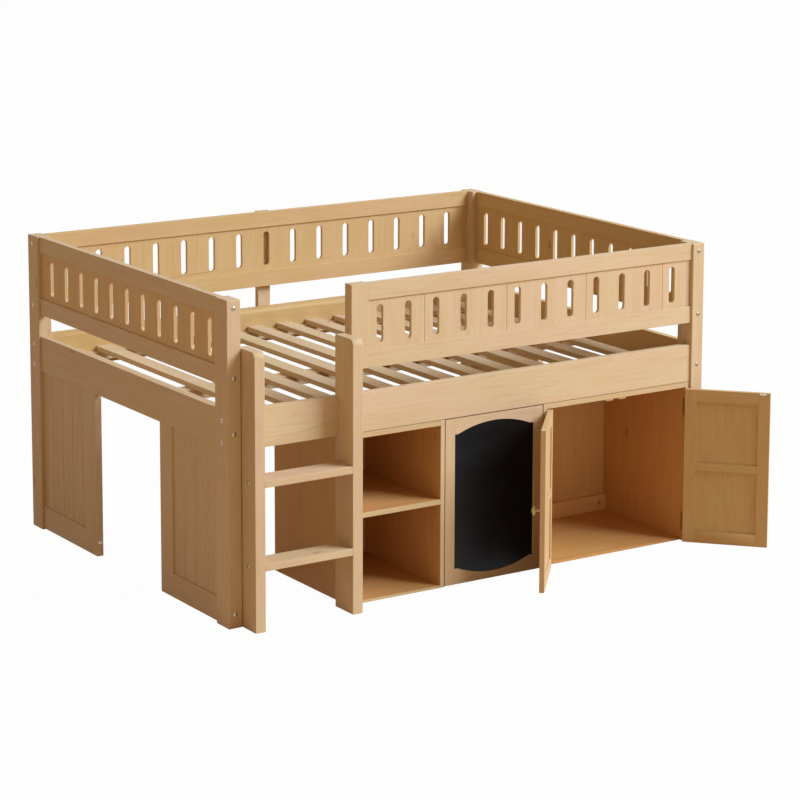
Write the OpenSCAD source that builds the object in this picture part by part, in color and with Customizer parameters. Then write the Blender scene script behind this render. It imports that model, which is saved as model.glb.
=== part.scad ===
// Low loft bed for a child, in solid pine.
// A slatted bunk on corner posts stands over a play space. Its front holds a two step ladder,
// an open cubby, a chalkboard panel and a cupboard with two doors. Sizes are in millimetres.
// The origin is the bottom outer corner of the front left post: X runs along the bed to the
// right, Y runs from the front to the back and Z runs up from the floor.

/* [Bed] */
// Length over the corner posts
bed_l = 2021; // [1960:1:2200]
// Width over the corner posts
bed_w = 1497; // [1300:1:1600]
// Height of the posts
bed_h = 1123; // [1080:1:1200]

/* [Posts] */
// Corner post, size along the bed
post_x = 53; // [46:1:60]
// Corner post, size across the bed
post_y = 82; // [74:1:90]
// Middle back post, size along the bed
mid_post_x = 55; // [40:1:90]
// Middle back post, thickness
mid_post_y = 23; // [18:1:27]

/* [Rails] */
// Distance that the outer rail faces lie behind the post faces
rail_set = 8; // [4:1:10]
// Thickness of the guard rails and end boards
rail_t = 25; // [22:1:30]
// Height of the top rails
top_rail_h = 59; // [45:1:70]
// Underside of the low guard rails above the floor
low_rail_z = 828; // [800:1:850]
// Height of the low guard rails
low_rail_h = 62; // [45:1:70]
// Thickness of the side rails
side_rail_t = 45; // [40:1:55]
// Radius of the inner top edge of the side rails
side_rail_round = 20; // [6:1:24]
// Underside of the front side rail above the floor
side_rail_z = 607; // [590:1:620]
// Height of the front side rail
side_rail_h = 138; // [130:1:150]
// Height of the end boards and of the back side rail beside the mattress
end_board_h = 132; // [125:1:150]

/* [Slotted panels] */
// Thickness of the panels
panel_t = 13; // [10:1:15]
// Distance that a panel lies behind its rails' faces
panel_set = 6; // [4:1:7]
// Depth of the panel grooves in the rails
groove_d = 8; // [6:1:12]
// Width of one slot
slot_w = 26; // [18:1:30]
// Solid wood above and below each slot
slot_margin = 20; // [14:1:30]
// Least distance from the last slot of a row to the end of its panel
slot_edge = 45; // [36:1:48]
// Spacing of the slots in the ends
end_slot_pitch = 118.6; // [100:0.1:130]
// First end slot from the front posts
end_slot_first = 58; // [45:1:80]
// Spacing of the slots in the front guard
front_slot_pitch = 115.6; // [100:0.1:130]
// First front slot from the guard stile
front_slot_first = 49.6; // [40:0.1:80]
// Spacing of the slots in the back guard
back_slot_pitch = 122.6; // [100:0.1:130]
// Width of the boards that the front guard panel is made of
guard_board_w = 348; // [250:1:450]

/* [Front guard] */
// Width of the guard's stile
stile_w = 69; // [50:1:75]
// Depth of the guard's stile
stile_d = 42; // [34:1:45]
// Width of the stile's foot on the side rail
stile_foot_w = 34; // [26:1:40]
// Distance from the cabinet's left face to the stile
stile_in = 14; // [5:1:30]

/* [Leg panels] */
// Width of the leg panels at the front posts
front_leg_w = 406; // [300:1:450]
// Width of the leg panels at the back posts
back_leg_w = 437; // [300:1:480]
// Width of their inner stiles
leg_stile_w = 86; // [60:1:110]
// Height of their foot rails
foot_rail_h = 85; // [60:1:110]
// Gap under the leg panels
foot_gap = 5; // [2:1:15]
// Width of the boards in the leg panels
leg_board_w = 80; // [60:1:110]

/* [Slats] */
// Width of one slat
slat_w = 63; // [45:1:80]
// Thickness of one slat
slat_t = 19; // [15:1:25]
// Spacing of the slats
slat_pitch = 132.3; // [110:0.1:150]
// Top of the slats below the top of the side rails
slat_drop = 65; // [55:1:75]
// Distance from the left end to the first slat
slat_first = 113; // [60:1:150]
// Height of the ledgers that carry the slats
ledger_h = 32; // [25:1:38]
// Thickness of the ledgers
ledger_t = 22; // [18:1:30]
// Width of the centre beam
beam_w = 64; // [45:1:90]
// Height of the centre beam
beam_h = 38; // [30:1:45]
// Distance from the front to the beam's back face
beam_y = 733; // [600:1:800]

/* [Ladder] */
// Width of one upright
upright_w = 39; // [30:1:45]
// Gap between the left upright and the corner post beside it
upright_gap = 1.5; // [0.5:0.5:4]
// Distance that the uprights reach in front of the posts
ladder_out = 86; // [70:1:130]
// Height of the uprights
ladder_h = 957; // [850:1:1000]
// Radius of the uprights' top front corner
upright_r = 22; // [10:1:35]
// Depth of the notch that hooks over the side rail
notch_d = 20; // [8:1:24]
// Thickness of the steps
step_t = 25; // [20:1:30]
// Depth of the steps from front to back
step_d = 91; // [70:1:100]
// Top of the lower step
lower_step_z = 234; // [200:1:280]
// Top of the upper step
upper_step_z = 520; // [460:1:570]

/* [Cabinet] */
// Depth of the cabinet from its front plane to its back
cab_d = 493; // [350:1:560]
// Thickness of the sides and dividers
cab_t = 17; // [15:1:20]
// Thickness of the top boards
cab_top_t = 19; // [15:1:20]
// Thickness of the bottom boards
cab_floor_t = 9; // [8:1:14]
// Thickness of the back panels
cab_back_t = 4; // [3:1:8]
// Gap between the cabinet and the side rail
cab_gap = 2; // [1:0.5:4]
// Width of the open cubby
cubby_w = 365; // [300:1:380]
// Width of the bay behind the chalkboard
board_bay_w = 426; // [380:1:440]
// Width of the cupboard
cupboard_w = 632; // [560:1:640]
// Thickness of the cubby's shelf
shelf_t = 18; // [15:1:22]
// Top of the cubby's shelf
shelf_z = 321; // [200:1:420]
// Height of the batten at the back of the cupboard
batten_h = 60; // [40:1:90]
// Thickness of that batten
batten_t = 18; // [15:1:25]

/* [Chalkboard] */
// Thickness of the chalkboard's frame
frame_t = 18; // [15:1:22]
// Gap round the frame
frame_gap = 3.5; // [1:0.5:6]
// Width of the frame's stiles
frame_stile_w = 40; // [30:1:60]
// Wood left at the middle of the top and bottom arcs
frame_rail_h = 26; // [18:1:50]
// Rise of the arcs above their shoulders
arc_rise = 31; // [15:1:45]
// Length of the flat shoulder at each corner
shoulder = 15; // [5:1:30]
// Thickness of the chalkboard
board_t = 6; // [4:1:8]
// Depth of the chalkboard behind the frame's face
board_set = 3; // [2:1:6]

/* [Cupboard doors] */
// Thickness of the doors
door_t = 18; // [16:1:22]
// Gap between door and cabinet
door_gap = 1.5; // [1.2:0.1:2.5]
// Gap between the two doors
meet_gap = 3; // [2:0.5:5]
// Gap above and below the doors
door_end_gap = 2; // [1:0.5:5]
// Width of the door stiles
door_stile_w = 44; // [35:1:60]
// Height of the top and bottom door rails
door_rail_h = 46; // [35:1:70]
// Height of the middle door rail
mid_rail_h = 30; // [25:1:60]
// Thickness of the door panels
door_panel_t = 8; // [6:1:9]
// Depth of the door panel grooves
door_groove = 6; // [4:1:10]
// Angle at which the left door stands open
left_open = 131; // [0:1:155]
// Angle at which the right door stands open
right_open = 133; // [0:1:155]
// Diameter of the knobs
knob_d = 33; // [24:1:40]
// Distance that the knobs stand out
knob_out = 32; // [28:1:36]

/* [Hinges and catches] */
// Height of a hinge
hinge_h = 70; // [50:1:90]
// Hinge middle from the end of the door
hinge_end = 73; // [60:1:120]
// Thickness of a hinge leaf
leaf_t = 1.2; // [1:0.1:1.6]
// Depth of a hinge leaf
leaf_d = 16; // [12:1:18]
// Radius of a hinge knuckle
knuckle_r = 3.2; // [2.8:0.1:3.6]
// Radius of a hinge pin
hinge_pin_r = 1.5; // [1.2:0.1:1.8]
// Distance of the hinge axis in front of the door faces
axis_out = 1; // [0.5:0.1:1.5]
// Width of a magnetic catch
catch_w = 30; // [20:1:40]
// Height of a magnetic catch
catch_h = 12; // [8:1:16]
// Spacing of the two catches
catch_pitch = 59; // [54:1:120]
// Distance of the catches to the right of the middle of the cupboard
catch_shift = 9; // [0:1:10]

/* [Fasteners] */
// Radius of a bolt head
head_r = 8; // [6:0.5:10]
// Thickness of a bolt head, which stands proud of the wood
head_h = 2.8; // [2.2:0.1:3]
// Width of the hexagon socket over its corners
socket_w = 5; // [4:0.5:6]
// Radius of a bolt shank
shank_r = 3; // [2.5:0.5:4]
// Radius of a threaded insert
insert_r = 4.5; // [4.5:0.1:5.5]
// Length of a threaded insert
insert_l = 16; // [12:1:20]
// Rail bolts across the bed, from the outer face of the end
end_bolt_in = 26; // [22:1:26]
// Side rail bolts, from the outer face of the posts
side_bolt_in = 37; // [25:1:40]
// Spacing of the two bolts in each side rail end
side_bolt_pitch = 77; // [50:1:90]
// Radius of a dowel
dowel_r = 5; // [4:0.5:6]
// Depth of a dowel in each piece
dowel_l = 28; // [15:1:35]

/* [Hidden] */

// Small clearances: round pins in their holes, panels in their grooves, a running hinge pin
hole_fit = 0.2;
groove_fit = 0.2;
pin_fit = 0.05;
// Smallest amount that a cut runs past a face
over = 1;
// Colours of the front faces, the shaded cabinet, the slats, the board and the metal
pine = [0.86, 0.74, 0.57];
warm_pine = [0.78, 0.62, 0.42];
pale_pine = [0.84, 0.79, 0.66];
board_black = [0.06, 0.06, 0.065];
steel = [0.75, 0.73, 0.7];
knob_wood = [0.85, 0.76, 0.45];

// Levels
top_rail_z = bed_h - top_rail_h;
low_rail_top = low_rail_z + low_rail_h;
side_rail_top = side_rail_z + side_rail_h;
doorway_h = side_rail_top - end_board_h;
slat_top = side_rail_top - slat_drop;
slat_z = slat_top - slat_t;
slot_h = top_rail_z - low_rail_top - 2 * slot_margin;
top_bolt_z = top_rail_z + top_rail_h / 2;
low_bolt_z = low_rail_z + low_rail_h / 2;
end_board_bolt_z = doorway_h + end_board_h * 0.42;
foot_bolt_z = foot_gap + foot_rail_h / 2 + 2;
side_bolt_z = side_rail_z + side_rail_h / 2 - 3;

// Places along the bed
right_post_x = bed_l - post_x;
x_right_side = right_post_x - cab_t;
x_right_divider = x_right_side - cupboard_w - cab_t;
x_left_divider = x_right_divider - board_bay_w - cab_t;
x_left_side = x_left_divider - cubby_w - cab_t;
stile_x = x_left_side + stile_in;
guard_x = stile_x + stile_w;
left_upright_x = post_x + upright_gap;
right_upright_x = x_left_side - 0.5 - upright_w;

// Places across the bed
back_post_y = bed_w - post_y;
back_face = bed_w - mid_post_y;
front_face = rail_set;
cab_back = front_face + cab_d;
cab_h = side_rail_z - cab_gap;
front_doorway_y = post_y + front_leg_w;
back_doorway_y = back_post_y - back_leg_w;

// Door sizes
door_w = (cupboard_w - 2 * door_gap - meet_gap) / 2;
door_z = door_end_gap;
door_top = cab_h - cab_top_t - door_end_gap;
door_h = door_top - door_z;
axis_y = front_face - axis_out;
left_axis_x = x_right_divider + cab_t + door_gap / 2;
right_axis_x = x_right_side - door_gap / 2;
door_bay_x = x_right_divider + cab_t;

// A box from one corner to the opposite one
module box(lo, hi) {
    translate(lo) cube(hi - lo);
}

// A round rod of a length from a point, along +X or +Y turned by the sign of the length
module rod_x(p, r, l) {
    translate(p) rotate([0, l > 0 ? 90 : -90, 0]) cylinder(r = r, h = abs(l), $fn = 32);
}
module rod_y(p, r, l) {
    translate(p) rotate([l > 0 ? -90 : 90, 0, 0]) cylinder(r = r, h = abs(l), $fn = 32);
}
module rod_z(p, r, l) {
    translate(p) cylinder(r = r, h = l, $fn = 32);
}

// Bolts are rows of [head point, direction, wood passed, axis]: the head bears on the wood,
// the shank passes the first piece and ends in a threaded insert in the second one.
// Bolts that would cross in a post stand this much apart in height
cross_shift = 14;
// Levels of the bolts along Y, each with the shift of the bolt in the back post
levels = [[top_bolt_z, cross_shift], [low_bolt_z, -cross_shift], [end_board_bolt_z, 0],
    [foot_bolt_z, 0]];
// Bolts along Y through the posts into the ends of the end rails, boards and foot rails
function end_bolts(x, i) = [[[x, 0, levels[i][0]], 1, post_y, "y"],
    [[x, bed_w, levels[i][0] + levels[i][1]], -1, post_y, "y"]];
function side_pair(y, x, s) = [for (k = [-0.5, 0.5])
    [[x, y, side_bolt_z + k * side_bolt_pitch], s, post_x, "x"]];
end_bolt_x = [end_bolt_in, bed_l - end_bolt_in];
front_side_y = side_bolt_in;
back_side_y = bed_w - side_bolt_in;
guard_bolt_y = front_face + rail_t / 2;
back_guard_y = back_face - rail_t / 2;
cross_bolts = [for (x = end_bolt_x) for (i = [0 : 3]) for (b = end_bolts(x, i)) b];
side_bolts = concat(side_pair(front_side_y, 0, 1), side_pair(front_side_y, bed_l, -1),
    side_pair(back_side_y, 0, 1), side_pair(back_side_y, bed_l, -1));
guard_bolts = [for (z = [top_bolt_z + cross_shift, low_bolt_z - cross_shift])
    [[bed_l, guard_bolt_y, z], -1, post_x, "x"]];
back_guard_bolts = [for (z = [top_bolt_z, low_bolt_z]) for (e = [[0, 1], [bed_l, -1]])
    [[e[0], back_guard_y, z], e[1], post_x, "x"]];
mid_bolts = [for (z = [top_bolt_z, low_bolt_z, side_bolt_z])
    [[bed_l / 2, bed_w, z], -1, mid_post_y, "y"]];
// Bolts through the leg stiles into the foot rails
stile_bolt_x = [rail_set + rail_t / 2, bed_l - rail_set - rail_t / 2];
stile_bolts = [for (x = stile_bolt_x) for (e = [[front_doorway_y, -1], [back_doorway_y, 1]])
    [[x, e[0], foot_bolt_z + 8], e[1], leg_stile_w, "y"]];
// Bolts through the ladder uprights into the steps, and through the side rail into the uprights
step_bolt_y = -ladder_out + step_d / 2 + 2;
step_bolts = [for (z = [upper_step_z, lower_step_z])
    for (e = [[left_upright_x, 1], [right_upright_x + upright_w, -1]])
    [[e[0], step_bolt_y, z - step_t / 2], e[1], upright_w, "x"]];
ladder_bolts = [for (x = [left_upright_x, right_upright_x])
    [[x + upright_w / 2, front_face + side_rail_t, side_bolt_z], -1, side_rail_t, "y"]];
all_bolts = concat(cross_bolts, side_bolts, guard_bolts, back_guard_bolts, mid_bolts,
    stile_bolts, step_bolts, ladder_bolts);

// Everything that a list of bolts needs cut out of the wood: shank and insert
module bolt_cuts(list) {
    for (b = list) {
        p = b[0];
        s = b[1];
        reach = b[2] + insert_l + over;
        if (b[3] == "x") {
            rod_x(p - [s * over, 0, 0], shank_r + hole_fit, s * (reach + over));
            rod_x(p + [s * b[2], 0, 0], insert_r + hole_fit, s * (insert_l + over));
        } else {
            rod_y(p - [0, s * over, 0], shank_r + hole_fit, s * (reach + over));
            rod_y(p + [0, s * b[2], 0], insert_r + hole_fit, s * (insert_l + over));
        }
    }
}

// One bolt lying along +Z from the underside of its broad domed head, which has a hexagon socket
head_rim = 0.8;
head_dome_r = (head_r * head_r + pow(head_h - head_rim, 2)) / (2 * (head_h - head_rim));
module bolt(l) {
    difference() {
        rotate_extrude($fn = 48) {
            translate([0, -head_rim]) square([head_r, head_rim]);
            square([shank_r, l]);
            intersection() {
                translate([0, -head_h]) square([head_r, head_h - head_rim]);
                translate([0, head_dome_r - head_h]) circle(r = head_dome_r, $fn = 96);
            }
        }
        translate([0, 0, -head_h - over]) cylinder(r = socket_w / 2, h = head_h - 0.4 + over, $fn = 6);
    }
}

// One threaded insert lying along +Z
module insert(l) {
    difference() {
        cylinder(r = insert_r, h = l, $fn = 32);
        translate([0, 0, -over]) cylinder(r = shank_r + hole_fit / 2, h = l + 2 * over, $fn = 32);
    }
}

// Turns a thing lying along +Z into a bolt's place and direction
module along(b) {
    turn = b[3] == "x" ? [0, b[1] * 90, 0] : [-b[1] * 90, 0, 0];
    translate(b[0]) rotate(turn) children();
}

// A slot with round ends that runs through a panel along Y
module slot(x, y, z) {
    translate([x, y - over, z]) rotate([-90, 0, 0]) linear_extrude(panel_t + 2 * over) {
        translate([-slot_w / 2, -slot_h + slot_w / 2]) square([slot_w, slot_h - slot_w]);
        translate([0, -slot_w / 2]) circle(d = slot_w, $fn = 48);
        translate([0, -slot_h + slot_w / 2]) circle(d = slot_w, $fn = 48);
    }
}

// A slotted panel whose visible part starts at the origin and runs along +X, its face at Y 0
module slotted_panel(l, first, pitch, boards = 0) {
    tongue = groove_d - groove_fit;
    z0 = low_rail_top;
    n = floor((l - first - slot_edge) / pitch) + 1;
    difference() {
        box([0, 0, z0 - tongue], [l, panel_t, top_rail_z + tongue]);
        for (i = [0 : n - 1]) slot(first + i * pitch, 0, z0 + slot_margin);
        if (boards > 0) {
            for (x = [boards * 2 / 3 : boards : l - over]) v_groove(x, z0 - tongue, top_rail_z + tongue);
        }
    }
}

// A V groove up the face at Y 0
module v_groove(x, z0, z1) {
    translate([x, 0, z0 - over]) rotate([0, 0, 45])
        translate([-1.5, -1.5, 0]) cube([3, 3, z1 - z0 + 2 * over]);
}

// A rail along +X with a panel groove in its top or underside
module grooved_rail(l, z, h, groove_top) {
    gz = groove_top ? z + h - groove_d : z;
    difference() {
        box([0, 0, z], [l, rail_t, z + h]);
        box([-over, panel_set - groove_fit, groove_top ? gz : gz - over],
            [l + over, panel_set + panel_t + groove_fit, groove_top ? gz + groove_d + over : gz + groove_d]);
    }
}

// Turns a piece drawn along +X with its face at Y 0 so that it lies in the left end, where its
// face looks to -X and it runs from the back post to the front post
module in_left_end() {
    translate([rail_set, back_post_y, 0]) rotate([0, 0, -90]) children();
}

// The same for the right end, where the face looks to +X
module in_right_end() {
    translate([bed_l - rail_set, post_y, 0]) rotate([0, 0, 90]) children();
}

// The same for the back, where the face looks to +Y
module in_back() {
    translate([right_post_x, back_face, 0]) rotate([0, 0, 180]) children();
}

end_l = back_post_y - post_y;
back_l = right_post_x - post_x;
guard_l = right_post_x - guard_x;
end_count = floor((end_l - end_slot_first - slot_edge) / end_slot_pitch);
end_last = end_l - end_slot_first - end_count * end_slot_pitch;
back_count = floor((back_l - 2 * slot_edge) / back_slot_pitch);
back_first = (back_l - back_count * back_slot_pitch) / 2;

// A corner post with the holes of its bolts
module post(x, y, bolts) {
    color(pine) difference() {
        box([x, y, 0], [x + post_x, y + post_y, bed_h]);
        bolt_cuts(bolts);
    }
}
// The bolts of a list that belong to the post at a corner
function near(list, x, y) = [for (b = list) if (abs(b[0][0] - x) < 70 && abs(b[0][1] - y) < 90) b];
corner_bolts = concat(cross_bolts, side_bolts, guard_bolts, back_guard_bolts);

module front_left_post() {
    post(0, 0, near(corner_bolts, 0, 0));
}
module front_right_post() {
    post(right_post_x, 0, near(corner_bolts, bed_l, 0));
}
module back_left_post() {
    post(0, back_post_y, near(corner_bolts, 0, bed_w));
}
module back_right_post() {
    post(right_post_x, back_post_y, near(corner_bolts, bed_l, bed_w));
}
module middle_back_post() {
    color(pine) difference() {
        box([bed_l / 2 - mid_post_x / 2, back_face, doorway_h], [bed_l / 2 + mid_post_x / 2, bed_w, bed_h]);
        bolt_cuts(mid_bolts);
    }
}

module left_end_top_rail() {
    color(pine) difference() {
        in_left_end() grooved_rail(end_l, top_rail_z, top_rail_h, false);
        bolt_cuts(end_bolts(end_bolt_in, 0));
    }
}
module left_end_slotted_panel() {
    color(pine) in_left_end() translate([0, panel_set, 0])
        slotted_panel(end_l, end_last, end_slot_pitch);
}
module left_end_low_rail() {
    color(pine) difference() {
        in_left_end() grooved_rail(end_l, low_rail_z, low_rail_h, true);
        bolt_cuts(end_bolts(end_bolt_in, 1));
    }
}
module left_end_board() {
    color(pine) difference() {
        in_left_end() end_board();
        bolt_cuts(end_bolts(end_bolt_in, 2));
        leg_dowel_cuts(rail_set + rail_t / 2);
    }
}
module right_end_top_rail() {
    color(pine) difference() {
        in_right_end() grooved_rail(end_l, top_rail_z, top_rail_h, false);
        bolt_cuts(end_bolts(bed_l - end_bolt_in, 0));
    }
}
module right_end_slotted_panel() {
    color(pine) in_right_end() translate([0, panel_set, 0])
        slotted_panel(end_l, end_last, end_slot_pitch);
}
module right_end_low_rail() {
    color(pine) difference() {
        in_right_end() grooved_rail(end_l, low_rail_z, low_rail_h, true);
        bolt_cuts(end_bolts(bed_l - end_bolt_in, 1));
    }
}
module right_end_board() {
    color(pine) difference() {
        in_right_end() mirror([1, 0, 0]) translate([-end_l, 0, 0]) end_board();
        bolt_cuts(end_bolts(bed_l - end_bolt_in, 2));
        leg_dowel_cuts(bed_l - rail_set - rail_t / 2);
    }
}

// The board under the mattress at an end, drawn along +X from the back post, with grooves in
// its underside for the leg panels
module end_board() {
    g0 = panel_set - groove_fit;
    g1 = panel_set + panel_t + groove_fit;
    difference() {
        box([0, 0, doorway_h], [end_l, rail_t, side_rail_top]);
        box([-over, g0, doorway_h - over], [back_leg_w - leg_stile_w, g1, doorway_h + groove_d]);
        box([end_l - front_leg_w + leg_stile_w, g0, doorway_h - over],
            [end_l + over, g1, doorway_h + groove_d]);
    }
}

// The leg frames of an end, drawn like the end board: a stile beside the doorway and a foot
// rail between stile and post
module leg_stiles() {
    box([back_leg_w - leg_stile_w, 0, foot_gap], [back_leg_w, rail_t, doorway_h]);
    box([end_l - front_leg_w, 0, foot_gap], [end_l - front_leg_w + leg_stile_w, rail_t, doorway_h]);
}
module foot_rails() {
    grooved_foot(0, back_leg_w - leg_stile_w);
    grooved_foot(end_l - front_leg_w + leg_stile_w, end_l);
}
module grooved_foot(x0, x1) {
    top = foot_gap + foot_rail_h;
    difference() {
        box([x0, 0, foot_gap], [x1, rail_t, top]);
        box([x0 - over, panel_set - groove_fit, top - groove_d],
            [x1 + over, panel_set + panel_t + groove_fit, top + over]);
    }
}
module leg_panels() {
    leg_panel(0, back_leg_w - leg_stile_w);
    leg_panel(end_l - front_leg_w + leg_stile_w, end_l);
}
module leg_panel(x0, x1) {
    z0 = foot_gap + foot_rail_h - groove_d + groove_fit;
    z1 = doorway_h + groove_d - groove_fit;
    translate([0, panel_set, 0]) difference() {
        box([x0, 0, z0], [x1, panel_t, z1]);
        for (x = [x0 + leg_board_w : leg_board_w : x1 - 5]) v_groove(x, z0, z1);
    }
}
// Dowels stand between the leg stiles and the end boards
leg_dowel_y = [for (y = [front_doorway_y - leg_stile_w, back_doorway_y])
    for (k = [0.25, 0.75]) y + k * leg_stile_w];
module leg_dowel_cuts(x) {
    for (y = leg_dowel_y)
        rod_z([x, y, doorway_h - dowel_l - over], dowel_r + hole_fit, 2 * (dowel_l + over));
}

module left_leg_stiles() {
    color(pine) difference() {
        in_left_end() leg_stiles();
        bolt_cuts(near_x(stile_bolts, stile_bolt_x[0]));
        leg_dowel_cuts(stile_bolt_x[0]);
    }
}
module left_foot_rails() {
    color(pine) difference() {
        in_left_end() foot_rails();
        bolt_cuts(near_x(stile_bolts, stile_bolt_x[0]));
        bolt_cuts(end_bolts(end_bolt_in, 3));
    }
}
module left_leg_panels() {
    color(pine) in_left_end() leg_panels();
}
module right_leg_stiles() {
    color(pine) difference() {
        in_right_end() mirror([1, 0, 0]) translate([-end_l, 0, 0]) leg_stiles();
        bolt_cuts(near_x(stile_bolts, stile_bolt_x[1]));
        leg_dowel_cuts(stile_bolt_x[1]);
    }
}
module right_foot_rails() {
    color(pine) difference() {
        in_right_end() mirror([1, 0, 0]) translate([-end_l, 0, 0]) foot_rails();
        bolt_cuts(near_x(stile_bolts, stile_bolt_x[1]));
        bolt_cuts(end_bolts(bed_l - end_bolt_in, 3));
    }
}
module right_leg_panels() {
    color(pine) in_right_end() mirror([1, 0, 0]) translate([-end_l, 0, 0]) leg_panels();
}
// The bolts of a list at one place along the bed
function near_x(list, x) = [for (b = list) if (abs(b[0][0] - x) < 1) b];

// Dowels between the guard's stile, its rails and the side rail under it
guard_dowel_x = [stile_x + stile_foot_w * 0.3, stile_x + stile_foot_w * 0.7];
guard_dowel_z = [top_rail_z + top_rail_h * 0.3, top_rail_z + top_rail_h * 0.7,
    low_rail_z + low_rail_h * 0.3, low_rail_z + low_rail_h * 0.7];
module guard_foot_cuts() {
    for (x = guard_dowel_x)
        rod_z([x, guard_bolt_y, side_rail_top - dowel_l - over], dowel_r + hole_fit, 2 * (dowel_l + over));
}
module guard_rail_cuts() {
    for (z = guard_dowel_z)
        rod_x([guard_x - dowel_l - over, guard_bolt_y, z], dowel_r + hole_fit, 2 * (dowel_l + over));
}

// A side rail with its outer face at Y 0 and its inner top edge rounded
module side_rail(z0) {
    y = side_rail_t - side_rail_round;
    difference() {
        box([post_x, 0, z0], [right_post_x, side_rail_t, side_rail_top]);
        difference() {
            box([post_x - over, y, side_rail_top - side_rail_round],
                [right_post_x + over, side_rail_t + over, side_rail_top + over]);
            translate([0, y, side_rail_top - side_rail_round]) rotate([0, 90, 0])
                cylinder(r = side_rail_round, h = bed_l, $fn = 96);
        }
    }
}
module front_side_rail() {
    color(pine) difference() {
        translate([0, front_face, 0]) side_rail(side_rail_z);
        bolt_cuts(concat(side_pair(front_side_y, 0, 1), side_pair(front_side_y, bed_l, -1)));
        bolt_cuts(ladder_bolts);
        guard_foot_cuts();
    }
}
module guard_stile() {
    color(pine) difference() {
        union() {
            box([stile_x, front_face, low_rail_z], [guard_x, front_face + stile_d, bed_h]);
            box([stile_x, front_face, side_rail_top],
                [stile_x + stile_foot_w, front_face + stile_d, low_rail_z + over]);
        }
        guard_foot_cuts();
        guard_rail_cuts();
    }
}
module guard_top_rail() {
    color(pine) difference() {
        translate([guard_x, front_face, 0]) grooved_rail(guard_l, top_rail_z, top_rail_h, false);
        bolt_cuts(guard_bolts);
        guard_rail_cuts();
    }
}
module guard_slotted_panel() {
    color(pine) translate([guard_x, front_face + panel_set, 0])
        slotted_panel(guard_l, front_slot_first, front_slot_pitch, guard_board_w);
}
module guard_low_rail() {
    color(pine) difference() {
        translate([guard_x, front_face, 0]) grooved_rail(guard_l, low_rail_z, low_rail_h, true);
        bolt_cuts(guard_bolts);
        guard_rail_cuts();
    }
}

module back_side_rail() {
    color(pine) difference() {
        translate([0, back_face, 0]) mirror([0, 1, 0]) side_rail(doorway_h);
        bolt_cuts(concat(side_pair(back_side_y, 0, 1), side_pair(back_side_y, bed_l, -1)));
        bolt_cuts(mid_bolts);
    }
}
module back_top_rail() {
    color(pine) difference() {
        in_back() grooved_rail(back_l, top_rail_z, top_rail_h, false);
        bolt_cuts(concat(back_guard_bolts, mid_bolts));
    }
}
module back_slotted_panel() {
    color(pine) in_back() translate([0, panel_set, 0])
        slotted_panel(back_l, back_first, back_slot_pitch);
}
module back_low_rail() {
    color(pine) difference() {
        in_back() grooved_rail(back_l, low_rail_z, low_rail_h, true);
        bolt_cuts(concat(back_guard_bolts, mid_bolts));
    }
}

// Ledgers along the side rails carry the slats, and two rests carry the beam under the slats
ledger_front = front_face + side_rail_t;
ledger_back = back_face - side_rail_t;
beam_x0 = rail_set + rail_t;
beam_x1 = bed_l - rail_set - rail_t;
rest_l = 22;
rest_h = 10;
rest_over = 20;
module deck_supports() {
    z0 = slat_z - ledger_h;
    r1 = slat_z - beam_h;
    r0 = r1 - rest_h;
    y0 = beam_y - beam_w - rest_over;
    y1 = beam_y + rest_over;
    color(pale_pine) {
        box([post_x, ledger_front, z0], [right_post_x, ledger_front + ledger_t, slat_z]);
        box([post_x, ledger_back - ledger_t, z0], [right_post_x, ledger_back, slat_z]);
        box([beam_x0, y0, r0], [beam_x0 + rest_l, y1, r1]);
        box([beam_x1 - rest_l, y0, r0], [beam_x1, y1, r1]);
    }
}
module centre_beam() {
    color(pale_pine) box([beam_x0, beam_y - beam_w, slat_z - beam_h], [beam_x1, beam_y, slat_z]);
}
slat_count = floor((beam_x1 - slat_w - slat_first - 20) / slat_pitch) + 1;
module slats() {
    color(pale_pine) for (i = [0 : slat_count - 1])
        box([slat_first + i * slat_pitch, ledger_front + over, slat_z],
            [slat_first + i * slat_pitch + slat_w, ledger_back - over, slat_top]);
}

// A ladder upright, notched behind for the side rail
module upright(x) {
    back = front_face + notch_d;
    difference() {
        translate([x, 0, 0]) rotate([90, 0, 90]) linear_extrude(upright_w) difference() {
            translate([-ladder_out, 0]) square([ladder_out + back, ladder_h]);
            translate([-ladder_out - over, ladder_h - upright_r]) difference() {
                square([upright_r + over, upright_r + over]);
                translate([upright_r + over, 0]) circle(r = upright_r, $fn = 64);
            }
            translate([front_face, side_rail_z]) square([notch_d + over, side_rail_h]);
        }
        bolt_cuts(concat(step_bolts, ladder_bolts));
    }
}
module ladder_left_upright() {
    color(pine) upright(left_upright_x);
}
module ladder_right_upright() {
    color(pine) upright(right_upright_x);
}
module ladder_steps() {
    color(pine) difference() {
        for (z = [upper_step_z, lower_step_z])
            box([left_upright_x + upright_w, -ladder_out, z - step_t],
                [right_upright_x, -ladder_out + step_d, z]);
        bolt_cuts(step_bolts);
    }
}

// An upright board of the cabinet
module cab_board(x) {
    box([x, front_face, 0], [x + cab_t, cab_back, cab_h]);
}
module cabinet_left_side() {
    color(warm_pine) cab_board(x_left_side);
}
module cabinet_dividers() {
    color(warm_pine) difference() {
        union() {
            cab_board(x_left_divider);
            cab_board(x_right_divider);
        }
        left_hinge_cuts();
    }
}
module cabinet_right_side() {
    color(warm_pine) difference() {
        cab_board(x_right_side);
        right_hinge_cuts();
    }
}
bays = [[x_left_side + cab_t, x_left_divider], [x_left_divider + cab_t, x_right_divider],
    [x_right_divider + cab_t, x_right_side]];
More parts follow.
